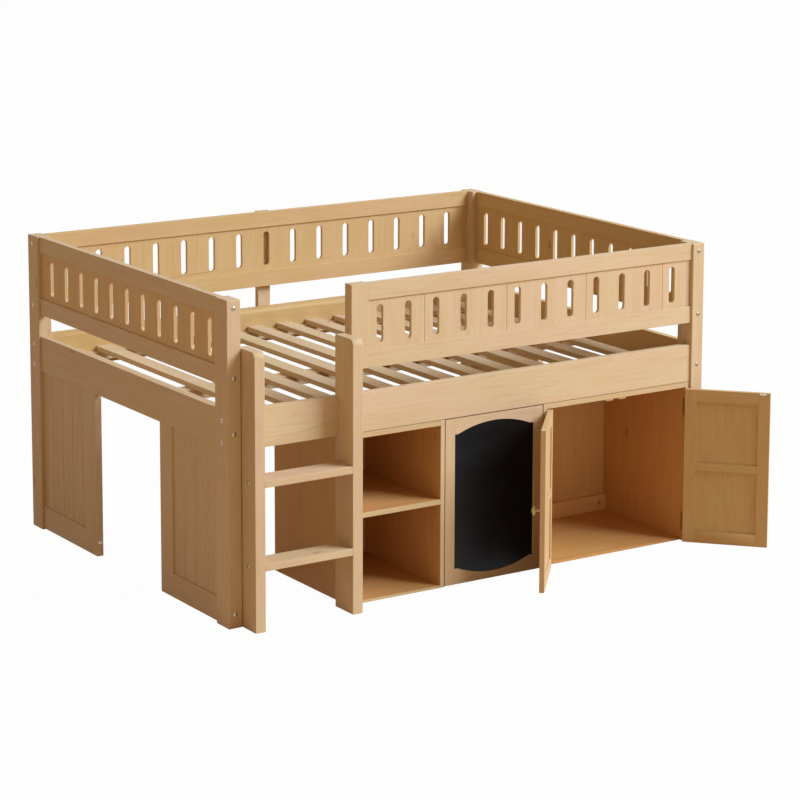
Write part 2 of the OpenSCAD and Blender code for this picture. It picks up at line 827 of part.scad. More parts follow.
// The frame of the chalkboard and the doors close in front of the boards behind them
inner_front = [front_face, front_face + frame_t, front_face + door_t + 0.5];
top_front = [front_face, front_face + frame_t, front_face];
module cabinet_tops() {
    color(warm_pine) for (i = [0 : 2])
        box([bays[i][0], top_front[i], cab_h - cab_top_t], [bays[i][1], cab_back - cab_back_t, cab_h]);
}
module cabinet_floors() {
    color(warm_pine) for (i = [0 : 2])
        box([bays[i][0], inner_front[i], 0], [bays[i][1], cab_back - cab_back_t, cab_floor_t]);
}
module cubby_shelf() {
    color(warm_pine) box([bays[0][0], front_face, shelf_z - shelf_t],
        [bays[0][1], cab_back - cab_back_t, shelf_z]);
}
module cabinet_backs() {
    color(warm_pine) for (i = [0, 2])
        box([bays[i][0], cab_back - cab_back_t, 0], [bays[i][1], cab_back, cab_h]);
}
module cupboard_batten() {
    y1 = cab_back - cab_back_t;
    color(warm_pine) box([bays[2][0], y1 - batten_t, cab_floor_t], [bays[2][1], y1, cab_floor_t + batten_h]);
}

// The chalkboard's frame: its window has straight sides and shallow arcs at top and bottom
frame_x0 = bays[1][0] + frame_gap;
frame_x1 = bays[1][1] - frame_gap;
frame_z0 = door_end_gap;
frame_z1 = cab_h - door_end_gap;
window_w = frame_x1 - frame_x0 - 2 * frame_stile_w;
window_h = frame_z1 - frame_z0 - 2 * frame_rail_h;
half_chord = window_w / 2 - shoulder;
arc_r = (half_chord * half_chord + arc_rise * arc_rise) / (2 * arc_rise);
module window_shape(grow = 0) {
    straight = window_h - 2 * arc_rise;
    square([window_w + 2 * grow, straight], center = true);
    for (s = [-1, 1]) intersection() {
        translate([0, s * (window_h / 2 - arc_r)]) circle(r = arc_r + grow, $fn = 180);
        translate([0, s * window_h / 4]) square([window_w + 2 * grow, window_h / 2 + 2 * grow], center = true);
    }
}
module in_window(y, t) {
    translate([(frame_x0 + frame_x1) / 2, y + t, (frame_z0 + frame_z1) / 2]) rotate([90, 0, 0])
        linear_extrude(t) children();
}
board_y = front_face + board_set;
board_lap = 8;
module board_frame(x0, x1) {
    difference() {
        box([x0, front_face, frame_z0], [x1, front_face + frame_t, frame_z1]);
        in_window(front_face - over, board_set + over) window_shape();
        in_window(board_y, frame_t - board_set + over) board_shape(0);
    }
}
module chalkboard_stiles() {
    color(pine) {
        board_frame(frame_x0, frame_x0 + frame_stile_w);
        board_frame(frame_x1 - frame_stile_w, frame_x1);
    }
}
module chalkboard_rails() {
    color(pine) board_frame(frame_x0 + frame_stile_w, frame_x1 - frame_stile_w);
}
// The board is a plain rectangle behind the shaped window
module board_shape(gap) {
    square([window_w + 2 * board_lap - 2 * gap, window_h + 2 * board_lap - 2 * gap], center = true);
}
module chalkboard() {
    color(board_black) in_window(board_y, board_t) board_shape(groove_fit);
}

// A closed door is drawn from its hinge edge at X 0 along +X, with its face at Y 0. The stiles
// are grooved along their inner edges for the panels and for the tongues of the rails.
door_fields = [[door_rail_h, door_h / 2 - mid_rail_h / 2],
    [door_h / 2 + mid_rail_h / 2, door_h - door_rail_h]];
door_rail_levels = [[0, door_fields[0][0]], [door_fields[0][1], door_fields[1][0]],
    [door_fields[1][1], door_h]];
panel_y = (door_t - door_panel_t) / 2;
module door_stiles() {
    difference() {
        for (x = [0, door_w - door_stile_w]) box([x, 0, 0], [x + door_stile_w, door_t, door_h]);
        box([door_stile_w - door_groove, panel_y - groove_fit, -over],
            [door_w - door_stile_w + door_groove, door_t - panel_y + groove_fit, door_h + over]);
        knob_hole();
    }
}
module door_rails() {
    tongue = door_groove - groove_fit;
    difference() {
        for (r = door_rail_levels) {
            box([door_stile_w, 0, r[0]], [door_w - door_stile_w, door_t, r[1]]);
            box([door_stile_w - tongue, panel_y, r[0]],
                [door_w - door_stile_w + tongue, door_t - panel_y, r[1]]);
        }
        for (f = door_fields)
            box([0, panel_y - groove_fit, f[0] - door_groove],
                [door_w, door_t - panel_y + groove_fit, f[1] + door_groove]);
    }
}
module door_panels() {
    g = door_groove - groove_fit;
    for (f = door_fields)
        box([door_stile_w - g, panel_y, f[0] - g], [door_w - door_stile_w + g, door_t - panel_y, f[1] + g]);
}
knob_x = door_w - door_stile_w / 2;
spigot_r = 3;
spigot_l = 12;
module knob_hole() {
    rod_y([knob_x, -over, door_h / 2], spigot_r + hole_fit, spigot_l + 0.5 + over);
}
// A turned knob: a spigot in the door, a stem and a head domed on both sides of a narrow band
knob_band = 5;
knob_dome = 7;
knob_stem_r = 5.5;
module knob() {
    r = dome_r(knob_dome);
    z0 = knob_out - 2 * knob_dome - knob_band;
    translate([knob_x, 0, door_h / 2]) rotate([90, 0, 0]) rotate_extrude($fn = 64) difference() {
        union() {
            translate([0, -spigot_l]) square([spigot_r, spigot_l + 1]);
            square([knob_stem_r, z0 + knob_dome]);
            intersection() {
                translate([0, z0]) square([knob_d / 2, knob_dome]);
                translate([0, z0 + r]) circle(r = r, $fn = 128);
            }
            translate([0, z0 + knob_dome]) square([knob_d / 2, knob_band]);
            intersection() {
                translate([0, knob_out - knob_dome]) square([knob_d / 2, knob_dome]);
                translate([0, knob_out - r]) circle(r = r, $fn = 128);
            }
        }
        translate([-knob_d, -spigot_l - over]) square([knob_d, knob_out + spigot_l + 2 * over]);
    }
}
function dome_r(h) = (knob_d * knob_d / 4 + h * h) / (2 * h);

// Hinges: each has three knuckles, the outer two and the pin fixed to the cabinet
hinge_zs = [hinge_end, door_h - hinge_end];
relief_r = knuckle_r + 0.5;
knuckle_gap = 0.4;
// Drawn like the door, the hinge axis lies half a gap before the door's edge
axis_dx = -door_gap / 2;
module knuckle(z0, z1) {
    translate([axis_dx, -axis_out, z0]) cylinder(r = knuckle_r, h = z1 - z0, $fn = 32);
}
module leaf(x0, z) {
    box([x0, -axis_out, z - hinge_h / 2], [x0 + leaf_t, leaf_d, z + hinge_h / 2]);
}
module door_leaf(z) {
    third = hinge_h / 6;
    difference() {
        union() {
            difference() {
                leaf(0, z);
                for (s = [-1, 1])
                    translate([axis_dx, -axis_out, z + s * hinge_h / 3 - third - knuckle_gap])
                        cylinder(r = relief_r, h = 2 * (third + knuckle_gap), $fn = 32);
            }
            knuckle(z - third + knuckle_gap, z + third - knuckle_gap);
        }
        translate([axis_dx, -axis_out, z - hinge_h])
            cylinder(r = hinge_pin_r + pin_fit, h = 2 * hinge_h, $fn = 32);
    }
}
module cabinet_leaf(z) {
    third = hinge_h / 6;
    difference() {
        leaf(-door_gap - leaf_t, z);
        translate([axis_dx, -axis_out, z - third]) cylinder(r = relief_r, h = 2 * third, $fn = 32);
    }
    knuckle(z - hinge_h / 2, z - third);
    knuckle(z + third, z + hinge_h / 2);
    translate([axis_dx, -axis_out, z - hinge_h / 2]) cylinder(r = hinge_pin_r, h = hinge_h, $fn = 32);
}
// What the hinges need cut out of the door's edge and of the cabinet beside it
module hinge_cut(x0, x1) {
    for (z = hinge_zs) {
        box([x0, -axis_out - over, z - hinge_h / 2 - 0.2], [x1, leaf_d + 0.2, z + hinge_h / 2 + 0.2]);
        translate([axis_dx, -axis_out, z - hinge_h / 2 - 0.2])
            cylinder(r = relief_r, h = hinge_h + 0.4, $fn = 32);
    }
}
// Places a door drawn closed from its hinge edge: at the left of the cupboard, or mirrored at
// the right, turned open about its hinge axis
module place_left(angle) {
    translate([left_axis_x, axis_y, door_z]) rotate([0, 0, -angle])
        translate([door_gap / 2, axis_out, 0]) children();
}
module place_right(angle) {
    translate([right_axis_x, axis_y, door_z]) rotate([0, 0, angle]) mirror([1, 0, 0])
        translate([door_gap / 2, axis_out, 0]) children();
}
module left_hinge_cuts() {
    place_left(0) hinge_cut(-door_gap - leaf_t, 0);
}
module right_hinge_cuts() {
    place_right(0) hinge_cut(-door_gap - leaf_t, 0);
}
// The steel plate on the inside of a door that its catch holds
plate_t = 1;
plate_h = 7;
plate_w = 24;
plate_in = 27;
module strike_plate() {
    x = door_w - plate_in;
    box([x - plate_w / 2, door_t, door_h - plate_h], [x + plate_w / 2, door_t + plate_t, door_h - 1]);
}
module left_door_stiles() {
    color(pine) place_left(left_open) difference() {
        door_stiles();
        hinge_cut(-over, leaf_t);
    }
}
module left_door_rails() {
    color(pine) place_left(left_open) door_rails();
}
module left_door_panels() {
    color(pine) place_left(left_open) door_panels();
}
module left_door_knob() {
    color(knob_wood) place_left(left_open) knob();
}
module right_door_stiles() {
    color(pine) place_right(right_open) difference() {
        door_stiles();
        hinge_cut(-over, leaf_t);
    }
}
module right_door_rails() {
    color(pine) place_right(right_open) door_rails();
}
module right_door_panels() {
    color(pine) place_right(right_open) door_panels();
}
module right_door_knob() {
    color(knob_wood) place_right(right_open) knob();
}
module fixed_hinge_leaves() {
    color(steel) for (z = hinge_zs) {
        place_left(0) cabinet_leaf(z);
        place_right(0) cabinet_leaf(z);
    }
}
module fittings() {
    for (z = hinge_zs) door_leaf(z);
    strike_plate();
}
module left_door_fittings() {
    color(steel) place_left(left_open) fittings();
}
module right_door_fittings() {
    color(steel) place_right(right_open) fittings();
}
module magnetic_catches() {
    z1 = cab_h - cab_top_t;
    y0 = front_face + door_t + plate_t + 0.5;
    mid = door_bay_x + cupboard_w / 2 + catch_shift;
    color(pale_pine) for (s = [-0.5, 0.5])
        box([mid + s * catch_pitch - catch_w / 2, y0, z1 - catch_h],
            [mid + s * catch_pitch + catch_w / 2, y0 + 20, z1]);
}

module bolts() {
    color(steel) for (b = all_bolts) along(b) bolt(b[2] + insert_l - 1);
}
module threaded_inserts() {
    color(steel) for (b = all_bolts) along(b) translate([0, 0, b[2]]) insert(insert_l);
}
module dowels() {
    color(pale_pine) {
        for (x = stile_bolt_x) for (y = leg_dowel_y) rod_z([x, y, doorway_h - dowel_l], dowel_r, 2 * dowel_l);
        for (x = guard_dowel_x) rod_z([x, guard_bolt_y, side_rail_top - dowel_l], dowel_r, 2 * dowel_l);
        for (z = guard_dowel_z) rod_x([guard_x - dowel_l, guard_bolt_y, z], dowel_r, 2 * dowel_l);
    }
}

front_left_post();
front_right_post();
back_left_post();
back_right_post();
middle_back_post();
left_end_top_rail();
left_end_slotted_panel();
left_end_low_rail();
left_end_board();
left_leg_stiles();
left_foot_rails();
left_leg_panels();
right_end_top_rail();
right_end_slotted_panel();
right_end_low_rail();
right_end_board();
right_leg_stiles();
right_foot_rails();
right_leg_panels();
front_side_rail();
guard_stile();
guard_top_rail();
guard_slotted_panel();
guard_low_rail();
back_side_rail();
back_top_rail();
back_slotted_panel();
back_low_rail();
deck_supports();
centre_beam();
slats();
ladder_left_upright();
ladder_right_upright();
ladder_steps();
cabinet_left_side();
cabinet_dividers();
cabinet_right_side();
cabinet_tops();
cabinet_floors();
cubby_shelf();
cabinet_backs();
cupboard_batten();
chalkboard_stiles();
chalkboard_rails();
chalkboard();
left_door_stiles();
left_door_rails();
left_door_panels();
left_door_knob();
right_door_stiles();
right_door_rails();
right_door_panels();
right_door_knob();
fixed_hinge_leaves();
left_door_fittings();
right_door_fittings();
magnetic_catches();
bolts();
threaded_inserts();
dowels();
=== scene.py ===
"""Low loft bed in lacquered solid pine, with a ladder, a cubby, a chalkboard and a cupboard.

The solids come from the frame. Each section below is one piece or group of like pieces of the
bed, in the order in which it is put together.
"""

import math

import bmesh
import bpy
from mathutils import Matrix, Vector


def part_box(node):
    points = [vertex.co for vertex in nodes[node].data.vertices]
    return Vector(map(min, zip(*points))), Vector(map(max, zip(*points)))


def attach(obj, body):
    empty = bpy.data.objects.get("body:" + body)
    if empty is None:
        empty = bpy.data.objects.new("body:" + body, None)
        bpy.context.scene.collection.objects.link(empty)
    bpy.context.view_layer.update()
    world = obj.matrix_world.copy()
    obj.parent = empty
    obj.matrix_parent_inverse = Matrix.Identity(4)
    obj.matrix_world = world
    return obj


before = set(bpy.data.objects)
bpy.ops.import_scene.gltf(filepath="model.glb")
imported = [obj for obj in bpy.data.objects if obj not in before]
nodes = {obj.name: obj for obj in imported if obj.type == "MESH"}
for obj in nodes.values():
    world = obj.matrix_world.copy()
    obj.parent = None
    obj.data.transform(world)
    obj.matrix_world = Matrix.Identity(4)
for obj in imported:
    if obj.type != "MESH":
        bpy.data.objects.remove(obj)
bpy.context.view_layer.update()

# The view of the photograph: a long lens at the front left, a little above the guard rails.
# The picture is an off-centre part of the lens's view, so the camera is shifted.
photo_side = 800.0
focal_px = 2735.0
centre_px = (352.3, 196.9)
film_width = 36.0
yaw, pitch = math.radians(32.35), math.radians(9.23)
camera_data = bpy.data.cameras.new("photo_camera")
camera_data.sensor_width = film_width
camera_data.lens = film_width * focal_px / photo_side
camera_data.shift_x = (photo_side / 2 - centre_px[0]) / photo_side
camera_data.shift_y = (centre_px[1] - photo_side / 2) / photo_side
camera_data.clip_end = 200.0
camera = bpy.data.objects.new("photo_camera", camera_data)
camera.location = (-4.363, -7.660, 2.900)
camera.rotation_euler = (math.pi / 2 - pitch, 0.0, -yaw)
bpy.context.scene.collection.objects.link(camera)
bpy.context.scene.camera = camera
bpy.context.scene.view_settings.view_transform = "Standard"


# The studio floor is matt paper of a warm tone, which lights the undersides of the boards. The
# camera and polished metal see it almost white, with only a faint shadow of the bed on it.
def straight_rays(tree, share):
    """That share for the rays of the lens, polished metal and glass, and none for the rest."""
    rays = tree.nodes.new("ShaderNodeLightPath")
    total = rays.outputs["Is Camera Ray"]
    for kind in ("Is Glossy Ray", "Is Transmission Ray"):
        either = tree.nodes.new("ShaderNodeMath")
        either.operation = "MAXIMUM"
        tree.links.new(total, either.inputs[0])
        tree.links.new(rays.outputs[kind], either.inputs[1])
        total = either.outputs[0]
    part = tree.nodes.new("ShaderNodeMath")
    part.operation = "MULTIPLY"
    part.inputs[1].default_value = share
    tree.links.new(total, part.inputs[0])
    return part.outputs[0]


def floor_paper():
    paper = bpy.data.materials.new("floor_paper")
    paper.use_nodes = True
    tree = paper.node_tree
    bsdf = tree.nodes["Principled BSDF"]
    bsdf.inputs["Base Color"].default_value = (0.74, 0.54, 0.34, 1.0)
    bsdf.inputs["Roughness"].default_value = 0.9
    bsdf.inputs["Specular IOR Level"].default_value = 0.0
    white = tree.nodes.new("ShaderNodeEmission")
    white.inputs["Strength"].default_value = 1.0
    mix = tree.nodes.new("ShaderNodeMixShader")
    tree.links.new(straight_rays(tree, 0.98), mix.inputs["Fac"])
    tree.links.new(bsdf.outputs["BSDF"], mix.inputs[1])
    tree.links.new(white.outputs["Emission"], mix.inputs[2])
    tree.links.new(mix.outputs["Shader"], tree.nodes["Material Output"].inputs["Surface"])
    return paper


floor_half, floor_z = 60.0, -0.0005
floor_mesh = bpy.data.meshes.new("studio_floor")
floor_mesh.from_pydata(
    [(x * floor_half, y * floor_half, floor_z) for x, y in ((-1, -1), (1, -1), (1, 1), (-1, 1))],
    [], [(0, 1, 2, 3)])
floor = bpy.data.objects.new("studio_floor", floor_mesh)
floor_mesh.materials.append(floor_paper())
bpy.context.scene.collection.objects.link(floor)


# Studio light: a wide soft box, far off and high at the right in front of the bed, lights the
# fronts and the tops and leaves the left faces in shade. The warm room fills the rest.
bed_middle = Vector((1.0, 0.7, 0.6))
lamp = bpy.data.lights.new("key_box", "AREA")
lamp.shape = "RECTANGLE"
lamp.size, lamp.size_y = 10.5, 8.5
lamp.energy = 4150.0
lamp.color = (0.88, 1.0, 1.16)
key_box = bpy.data.objects.new("key_box", lamp)
key_box.location = (12.05, -9.84, 11.82)
key_box.rotation_euler = (bed_middle - key_box.location).to_track_quat("-Z", "Y").to_euler()
key_box.visible_camera = False
bpy.context.scene.collection.objects.link(key_box)
room = bpy.data.worlds.new("studio_room")
bpy.context.scene.world = room
room.use_nodes = True
room_tree = room.node_tree
room_light = room_tree.nodes["Background"]
room_light.inputs["Color"].default_value = (1.0, 0.72, 0.43, 1.0)
room_light.inputs["Strength"].default_value = 0.335
room_white = room_tree.nodes.new("ShaderNodeBackground")
room_white.inputs["Color"].default_value = (1.0, 1.0, 1.0, 1.0)
room_white.inputs["Strength"].default_value = 1.0
room_mix = room_tree.nodes.new("ShaderNodeMixShader")
room_tree.links.new(straight_rays(room_tree, 1.0), room_mix.inputs["Fac"])
room_tree.links.new(room_light.outputs["Background"], room_mix.inputs[1])
room_tree.links.new(room_white.outputs["Background"], room_mix.inputs[2])
room_tree.links.new(room_mix.outputs["Shader"], room_tree.nodes["World Output"].inputs["Surface"])


# The corner posts and the middle back post are planed pine, with the grain upright, rounded
# edges and a clear satin lacquer. They take all the rails, and the corner posts stand on the
# floor.
class Shading:
    """The nodes of one material, joined as they are made."""

    def __init__(self, name):
        self.material = bpy.data.materials.new(name)
        self.material.use_nodes = True
        self.tree = self.material.node_tree
        self.bsdf = self.tree.nodes["Principled BSDF"]
        self.place = self.add("ShaderNodeTexCoord").outputs["Object"]

    def add(self, kind):
        return self.tree.nodes.new(kind)

    def feed(self, socket, value):
        if isinstance(value, bpy.types.NodeSocket):
            self.tree.links.new(value, socket)
        elif isinstance(value, tuple) and socket.type == "RGBA":
            socket.default_value = value + (1.0,)
        elif value is not None:
            socket.default_value = value

    def number(self, kind, a, b=None):
        node = self.add("ShaderNodeMath")
        node.operation = kind
        self.feed(node.inputs[0], a)
        self.feed(node.inputs[1], b)
        return node.outputs[0]

    def vector(self, kind, a, b=None, scale=None):
        node = self.add("ShaderNodeVectorMath")
        node.operation = kind
        self.feed(node.inputs[0], a)
        self.feed(node.inputs[1], b)
        if scale is not None:
            self.feed(node.inputs["Scale"], scale)
        return node.outputs["Value"] if kind in ("DOT_PRODUCT", "LENGTH") else node.outputs[0]

    def noise(self, vector, detail=2.0, rough=0.5, scale=1.0):
        node = self.add("ShaderNodeTexNoise")
        self.feed(node.inputs["Vector"], vector)
        self.feed(node.inputs["Scale"], scale)
        self.feed(node.inputs["Detail"], detail)
        self.feed(node.inputs["Roughness"], rough)
        return node

    def ramp(self, value, low, high, first=0.0, last=1.0):
        node = self.add("ShaderNodeMapRange")
        node.interpolation_type = "SMOOTHSTEP"
        for key, what in (("Value", value), ("From Min", low), ("From Max", high),
                          ("To Min", first), ("To Max", last)):
            self.feed(node.inputs[key], what)
        return node.outputs["Result"]

    def blend(self, share, low, high):
        node = self.add("ShaderNodeMix")
        node.data_type = "RGBA"
        self.feed(node.inputs["Factor"], share)
        for key, colour in (("A", low), ("B", high)):
            self.feed([s for s in node.inputs if s.name == key and s.type == "RGBA"][0], colour)
        return [s for s in node.outputs if s.type == "RGBA"][0]

    def bump(self, height, strength, distance):
        node = self.add("ShaderNodeBump")
        self.feed(node.inputs["Strength"], strength)
        self.feed(node.inputs["Distance"], distance)
        self.feed(node.inputs["Height"], height)
        self.feed(self.bsdf.inputs["Normal"], node.outputs["Normal"])


upright, across_bed, along_bed = (0.0, 0.0, 1.0), (0.0, 1.0, 0.0), (1.0, 0.0, 0.0)
pine_tone = (0.685, 0.52, 0.33)


def pine(name, grain, tone=pine_tone, across=None, strip=0.1, knots=0.8, roughness=0.5,
         gloss=0.16, front=None):
    """Lacquered pine: growth rings about a pith line along the grain, streaks, knots and pores.

    grain is the direction of the fibres. A panel glued up from strips gives the direction
    across them and their width, and each strip then has its own place in the log. front is the
    depth of a board's front edge, which is painted lighter, as lit. Behind it the board keeps its
    tone, which for the cabinet's inside boards is painted shade.
    """
    wood = Shading(name)
    middle, one_channel = (0.5, 0.5, 0.5), (1.0, 0.0, 0.0)
    draw_by_piece, draw_by_board, draw_by_strip = 71.3, 37.1, 5.37
    strip_shift, log_reach, pith_wander = 3.0, 0.5, 0.10
    ring_width, ring_wobble, seam_width = 0.017, 1.3, 0.0012
    knot_core, knot_rim, knot_share = 0.03, 0.10, 0.55
    # How deep the front edge that is painted lighter, as lit, reaches, and its tint.
    lit_edge_depth, lit_edge_tint = 0.004, (1.08, 1.5, 2.3)
    roughness_spread, pore_depth = 0.16, 0.0006

    board = wood.add("ShaderNodeNewGeometry").outputs["Random Per Island"]
    piece = wood.add("ShaderNodeObjectInfo").outputs["Random"]
    seed = wood.number("ADD", wood.number("MULTIPLY", piece, draw_by_piece),
                       wood.number("MULTIPLY", board, draw_by_board))
    if across is not None:
        step = wood.number("DIVIDE", wood.vector("DOT_PRODUCT", wood.place, across), strip)
        step = wood.number("ADD", step, wood.number("MULTIPLY", piece, strip_shift))
        seed = wood.number("ADD", seed, wood.number("MULTIPLY", wood.number("FLOOR", step),
                                                    draw_by_strip))
        inside = wood.number("FRACT", step)
        edge = wood.number("MINIMUM", inside, wood.number("SUBTRACT", 1.0, inside))
        seam = wood.ramp(edge, 0.0, seam_width / strip, 1.0, 0.0)
    dice = wood.add("ShaderNodeTexWhiteNoise")
    dice.noise_dimensions = "1D"
    wood.feed(dice.inputs["W"], seed)
    chance = dice.outputs["Value"]
    shift = wood.vector("SUBTRACT", dice.outputs["Color"], middle)
    log = wood.vector("ADD", wood.place, wood.vector("SCALE", shift, scale=log_reach))
    along = wood.vector("DOT_PRODUCT", log, grain)

    def drawn_out(place, wide, long):
        """The place in a pattern with so many cells a metre across the fibres and along them."""
        pull = wood.vector("SCALE", grain, scale=wood.number("MULTIPLY", along, long - wide))
        return wood.vector("ADD", wood.vector("SCALE", place, scale=wide), pull)

    def fibres(wide, long, detail=2.0, rough=0.5):
        return wood.noise(drawn_out(log, wide, long), detail, rough).outputs["Fac"]

    wander = wood.noise(drawn_out(log, 4.0, 0.8)).outputs["Color"]
    wander = wood.vector("SCALE", wood.vector("SUBTRACT", wander, middle), scale=pith_wander)
    from_pith = wood.vector("SUBTRACT", wood.vector("ADD", log, wander),
                            wood.vector("SCALE", grain, scale=along))
    year = wood.number("DIVIDE", wood.vector("LENGTH", from_pith), ring_width)
    wobble = wood.number("MULTIPLY", fibres(30.0, 1.8), ring_wobble)
    year = wood.number("FRACT", wood.number("ADD", year, wobble))
    late = wood.number("MULTIPLY", wood.ramp(year, 0.15, 0.85),
                       wood.ramp(year, 0.88, 1.0, 1.0, 0.0))
    late = wood.number("MULTIPLY", late, wood.ramp(fibres(11.0, 0.9), 0.34, 0.68))
    streaks = fibres(80.0, 5.5, 5.0, 0.62)
    flecks = fibres(330.0, 26.0, 3.0, 0.6)
    cloud = fibres(10.0, 2.6, 3.0, 0.55)
    pores = fibres(900.0, 14.0)
    elsewhere = wood.vector("ADD", log, (3.7, 1.9, 5.3))
    hue = wood.noise(drawn_out(elsewhere, 4.5, 1.5)).outputs["Fac"]

    cells = wood.add("ShaderNodeTexVoronoi")
    wood.feed(cells.inputs["Vector"], drawn_out(log, 8.0, 3.4))
    wood.feed(cells.inputs["Scale"], 1.0)
    draw = wood.vector("DOT_PRODUCT", cells.outputs["Color"], one_channel)
    rare = wood.number("GREATER_THAN", draw, 1.0 - knot_share * knots)
    knot = wood.number("MULTIPLY", rare,
                       wood.ramp(cells.outputs["Distance"], knot_core, knot_rim, 1.0, 0.0))

    def tint(red, green, blue):
        return (min(1.0, tone[0] * red), tone[1] * green, tone[2] * blue)

    colour = wood.blend(wood.ramp(hue, 0.32, 0.68),
                        tint(0.985, 1.01, 0.94), tint(1.03, 0.985, 1.05))
    stains = [(late, 0.17, tint(0.86, 0.73, 0.56)),
              (wood.ramp(streaks, 0.48, 0.70), 0.34, tint(0.80, 0.66, 0.48)),
              (wood.ramp(flecks, 0.54, 0.72), 0.32, tint(0.74, 0.60, 0.42)),
              (wood.ramp(cloud, 0.40, 0.68), 0.44, tint(0.90, 0.82, 0.68)),
              (chance, 0.26, tint(0.93, 0.87, 0.80)),
              (knot, 0.55, tint(0.50, 0.33, 0.18))]
    if across is not None:
        stains.append((seam, 0.22, tint(0.66, 0.50, 0.34)))
    for share, most, stain in stains:
        colour = wood.blend(wood.number("MULTIPLY", share, most), colour, stain)
    # Painted light and shade: the front edge is painted lighter, as lit, and the faces behind it
    # keep the tone, which for the cabinet's inside boards is painted shade.
    if front is not None:
        depth = wood.vector("DOT_PRODUCT", wood.place, across_bed)
        pale = wood.vector("MULTIPLY", colour, lit_edge_tint)
        painted_shade_share = wood.ramp(depth, front + 0.1 * lit_edge_depth, front + lit_edge_depth)
        colour = wood.blend(painted_shade_share, pale, colour)
    wood.feed(wood.bsdf.inputs["Base Color"], colour)
    satin = wood.number("MULTIPLY", streaks, roughness_spread)
    satin = wood.number("ADD", satin, roughness - 0.5 * roughness_spread)
    wood.feed(wood.bsdf.inputs["Roughness"], satin)
    wood.feed(wood.bsdf.inputs["Specular IOR Level"], gloss)
    wood.bump(wood.number("SUBTRACT", wood.number("MULTIPLY", pores, 0.5),
                          wood.number("MULTIPLY", late, 0.25)), 0.35, pore_depth)
    return wood.material


def finish_board(names, material, ease=0.0007, segments=2, outer=False):
    """Gives solids their finish and rounds their sharp edges a little, as sanding does.

    ease is the width of the rounding, and 0 leaves the edges sharp. outer rounds only the edges
    between the corners of the board's box, and so no bolt holes.
    """
    same_point, flat_angle, sharp_angle = 0.00002, math.radians(0.5), math.radians(40.0)
    at_corner = 0.0001
    for name in names:
        board = nodes[name]
        if not board.material_slots:
            board.data.materials.append(material)
        for slot in board.material_slots:
            slot.material = material
        if not ease:
            continue
        weld = board.modifiers.new("weld", "WELD")
        weld.merge_threshold = same_point
        flats = board.modifiers.new("flats", "DECIMATE")
        flats.decimate_type = "DISSOLVE"
        flats.angle_limit = flat_angle
        eased = board.modifiers.new("eased_edges", "BEVEL")
        eased.width = ease
        eased.segments = segments
        eased.limit_method = "ANGLE"
        eased.angle_limit = sharp_angle
        eased.use_clamp_overlap = False
        if outer:
            near, far = Vector(board.bound_box[0]), Vector(board.bound_box[6])
            corners = [v.index for v in board.data.vertices
                       if all(min(v.co[k] - near[k], far[k] - v.co[k]) < at_corner
                              for k in range(3))]
            group = board.vertex_groups.new(name="outer_corners")
            group.add(corners, 1.0, "REPLACE")
            eased.limit_method = "VGROUP"
            eased.vertex_group = group.name


upright_pine = pine("upright_pine", upright)
finish_board(["front_left_post", "front_right_post", "back_left_post", "back_right_post"],
             upright_pine, 0.0038, 4, outer=True)
finish_board(["middle_back_post"], upright_pine, 0.0015, 3, outer=True)

# The end rails, end boards and foot rails run across the bed. They butt against the posts and
# leg stiles, flush at their edges, and are drawn up by the bolts.
cross_pine = pine("cross_pine", across_bed)
finish_board(["left_end_top_rail", "left_end_low_rail", "left_end_board", "left_foot_rails",
              "right_foot_rails"], cross_pine)
# The right end's boards, whose inner faces are turned from the lamp, take a darker, more saturated
# tone: painted shade.
right_end_shade_tone = (0.66, 0.46, 0.22)
finish_board(["right_end_top_rail", "right_end_low_rail", "right_end_board"],
             pine("right_cross_shade_pine", across_bed, right_end_shade_tone))

# The slotted end panels are thin boards glued up side by side, with the slots routed through
# them. Their edges sit in grooves in the two rails.
end_board_width, slot_ease = 0.1186, 0.0012
# The right panel takes the right end's tone, which is painted shade.
for side, tone in (("left", (0.70, 0.49, 0.25)), ("right", right_end_shade_tone)):
    finish_board([side + "_end_slotted_panel"],
                 pine(side + "_panel_pine", upright, tone, across_bed, end_board_width), slot_ease)

# The legs at the doorways: an upright stile beside the opening, dowelled to the end board, and
# narrow upright boards between the stile and the post, held in grooves.
leg_board_pine = pine("leg_board_pine", upright, across=across_bed, strip=0.08)
finish_board(["left_leg_stiles", "right_leg_stiles"], upright_pine)
finish_board(["left_leg_panels", "right_leg_panels"], leg_board_pine, 0.0)

# The long rails: heavy side rails, rounded inside, that carry the deck, and the lighter rails
# of the guards above them. All of them butt between posts.
long_pine = pine("long_pine", along_bed)
back_rail_pine = pine("back_rail_pine", along_bed, (0.62, 0.43, 0.195))
finish_board(["front_side_rail"], long_pine, 0.0015)
finish_board(["back_side_rail"], back_rail_pine, 0.0015)
finish_board(["guard_top_rail", "guard_low_rail"], long_pine)
honey_tone = (0.69, 0.485, 0.24)
finish_board(["back_top_rail", "back_low_rail"], pine("back_long_pine", along_bed, honey_tone))

# The guard's stile closes the front guard beside the entry. It stands on the side rail on two
# dowels and is narrower at its foot.
finish_board(["guard_stile"], upright_pine)

# The long slotted panels of the guards are glued up from upright boards like the end panels,
# and sit in grooves in their rails.
finish_board(["guard_slotted_panel"],
             pine("long_panel_pine", upright, across=along_bed, strip=0.116), slot_ease)
finish_board(["back_slotted_panel"],
             pine("back_panel_pine", upright, honey_tone, along_bed, 0.122), slot_ease)

# The deck: planed bare slats, paler and greyer than the lacquered frame. They lie across the
# bed on a ledger at each side and a beam in the middle.
slat_pine = pine("slat_pine", across_bed, (0.70, 0.56, 0.375), knots=1.2, roughness=0.6)
finish_board(["slats"], slat_pine, 0.0015)
bare_pine = pine("bare_pine", along_bed, (0.70, 0.54, 0.36), roughness=0.6)
finish_board(["deck_supports", "centre_beam"], bare_pine, 0.001)

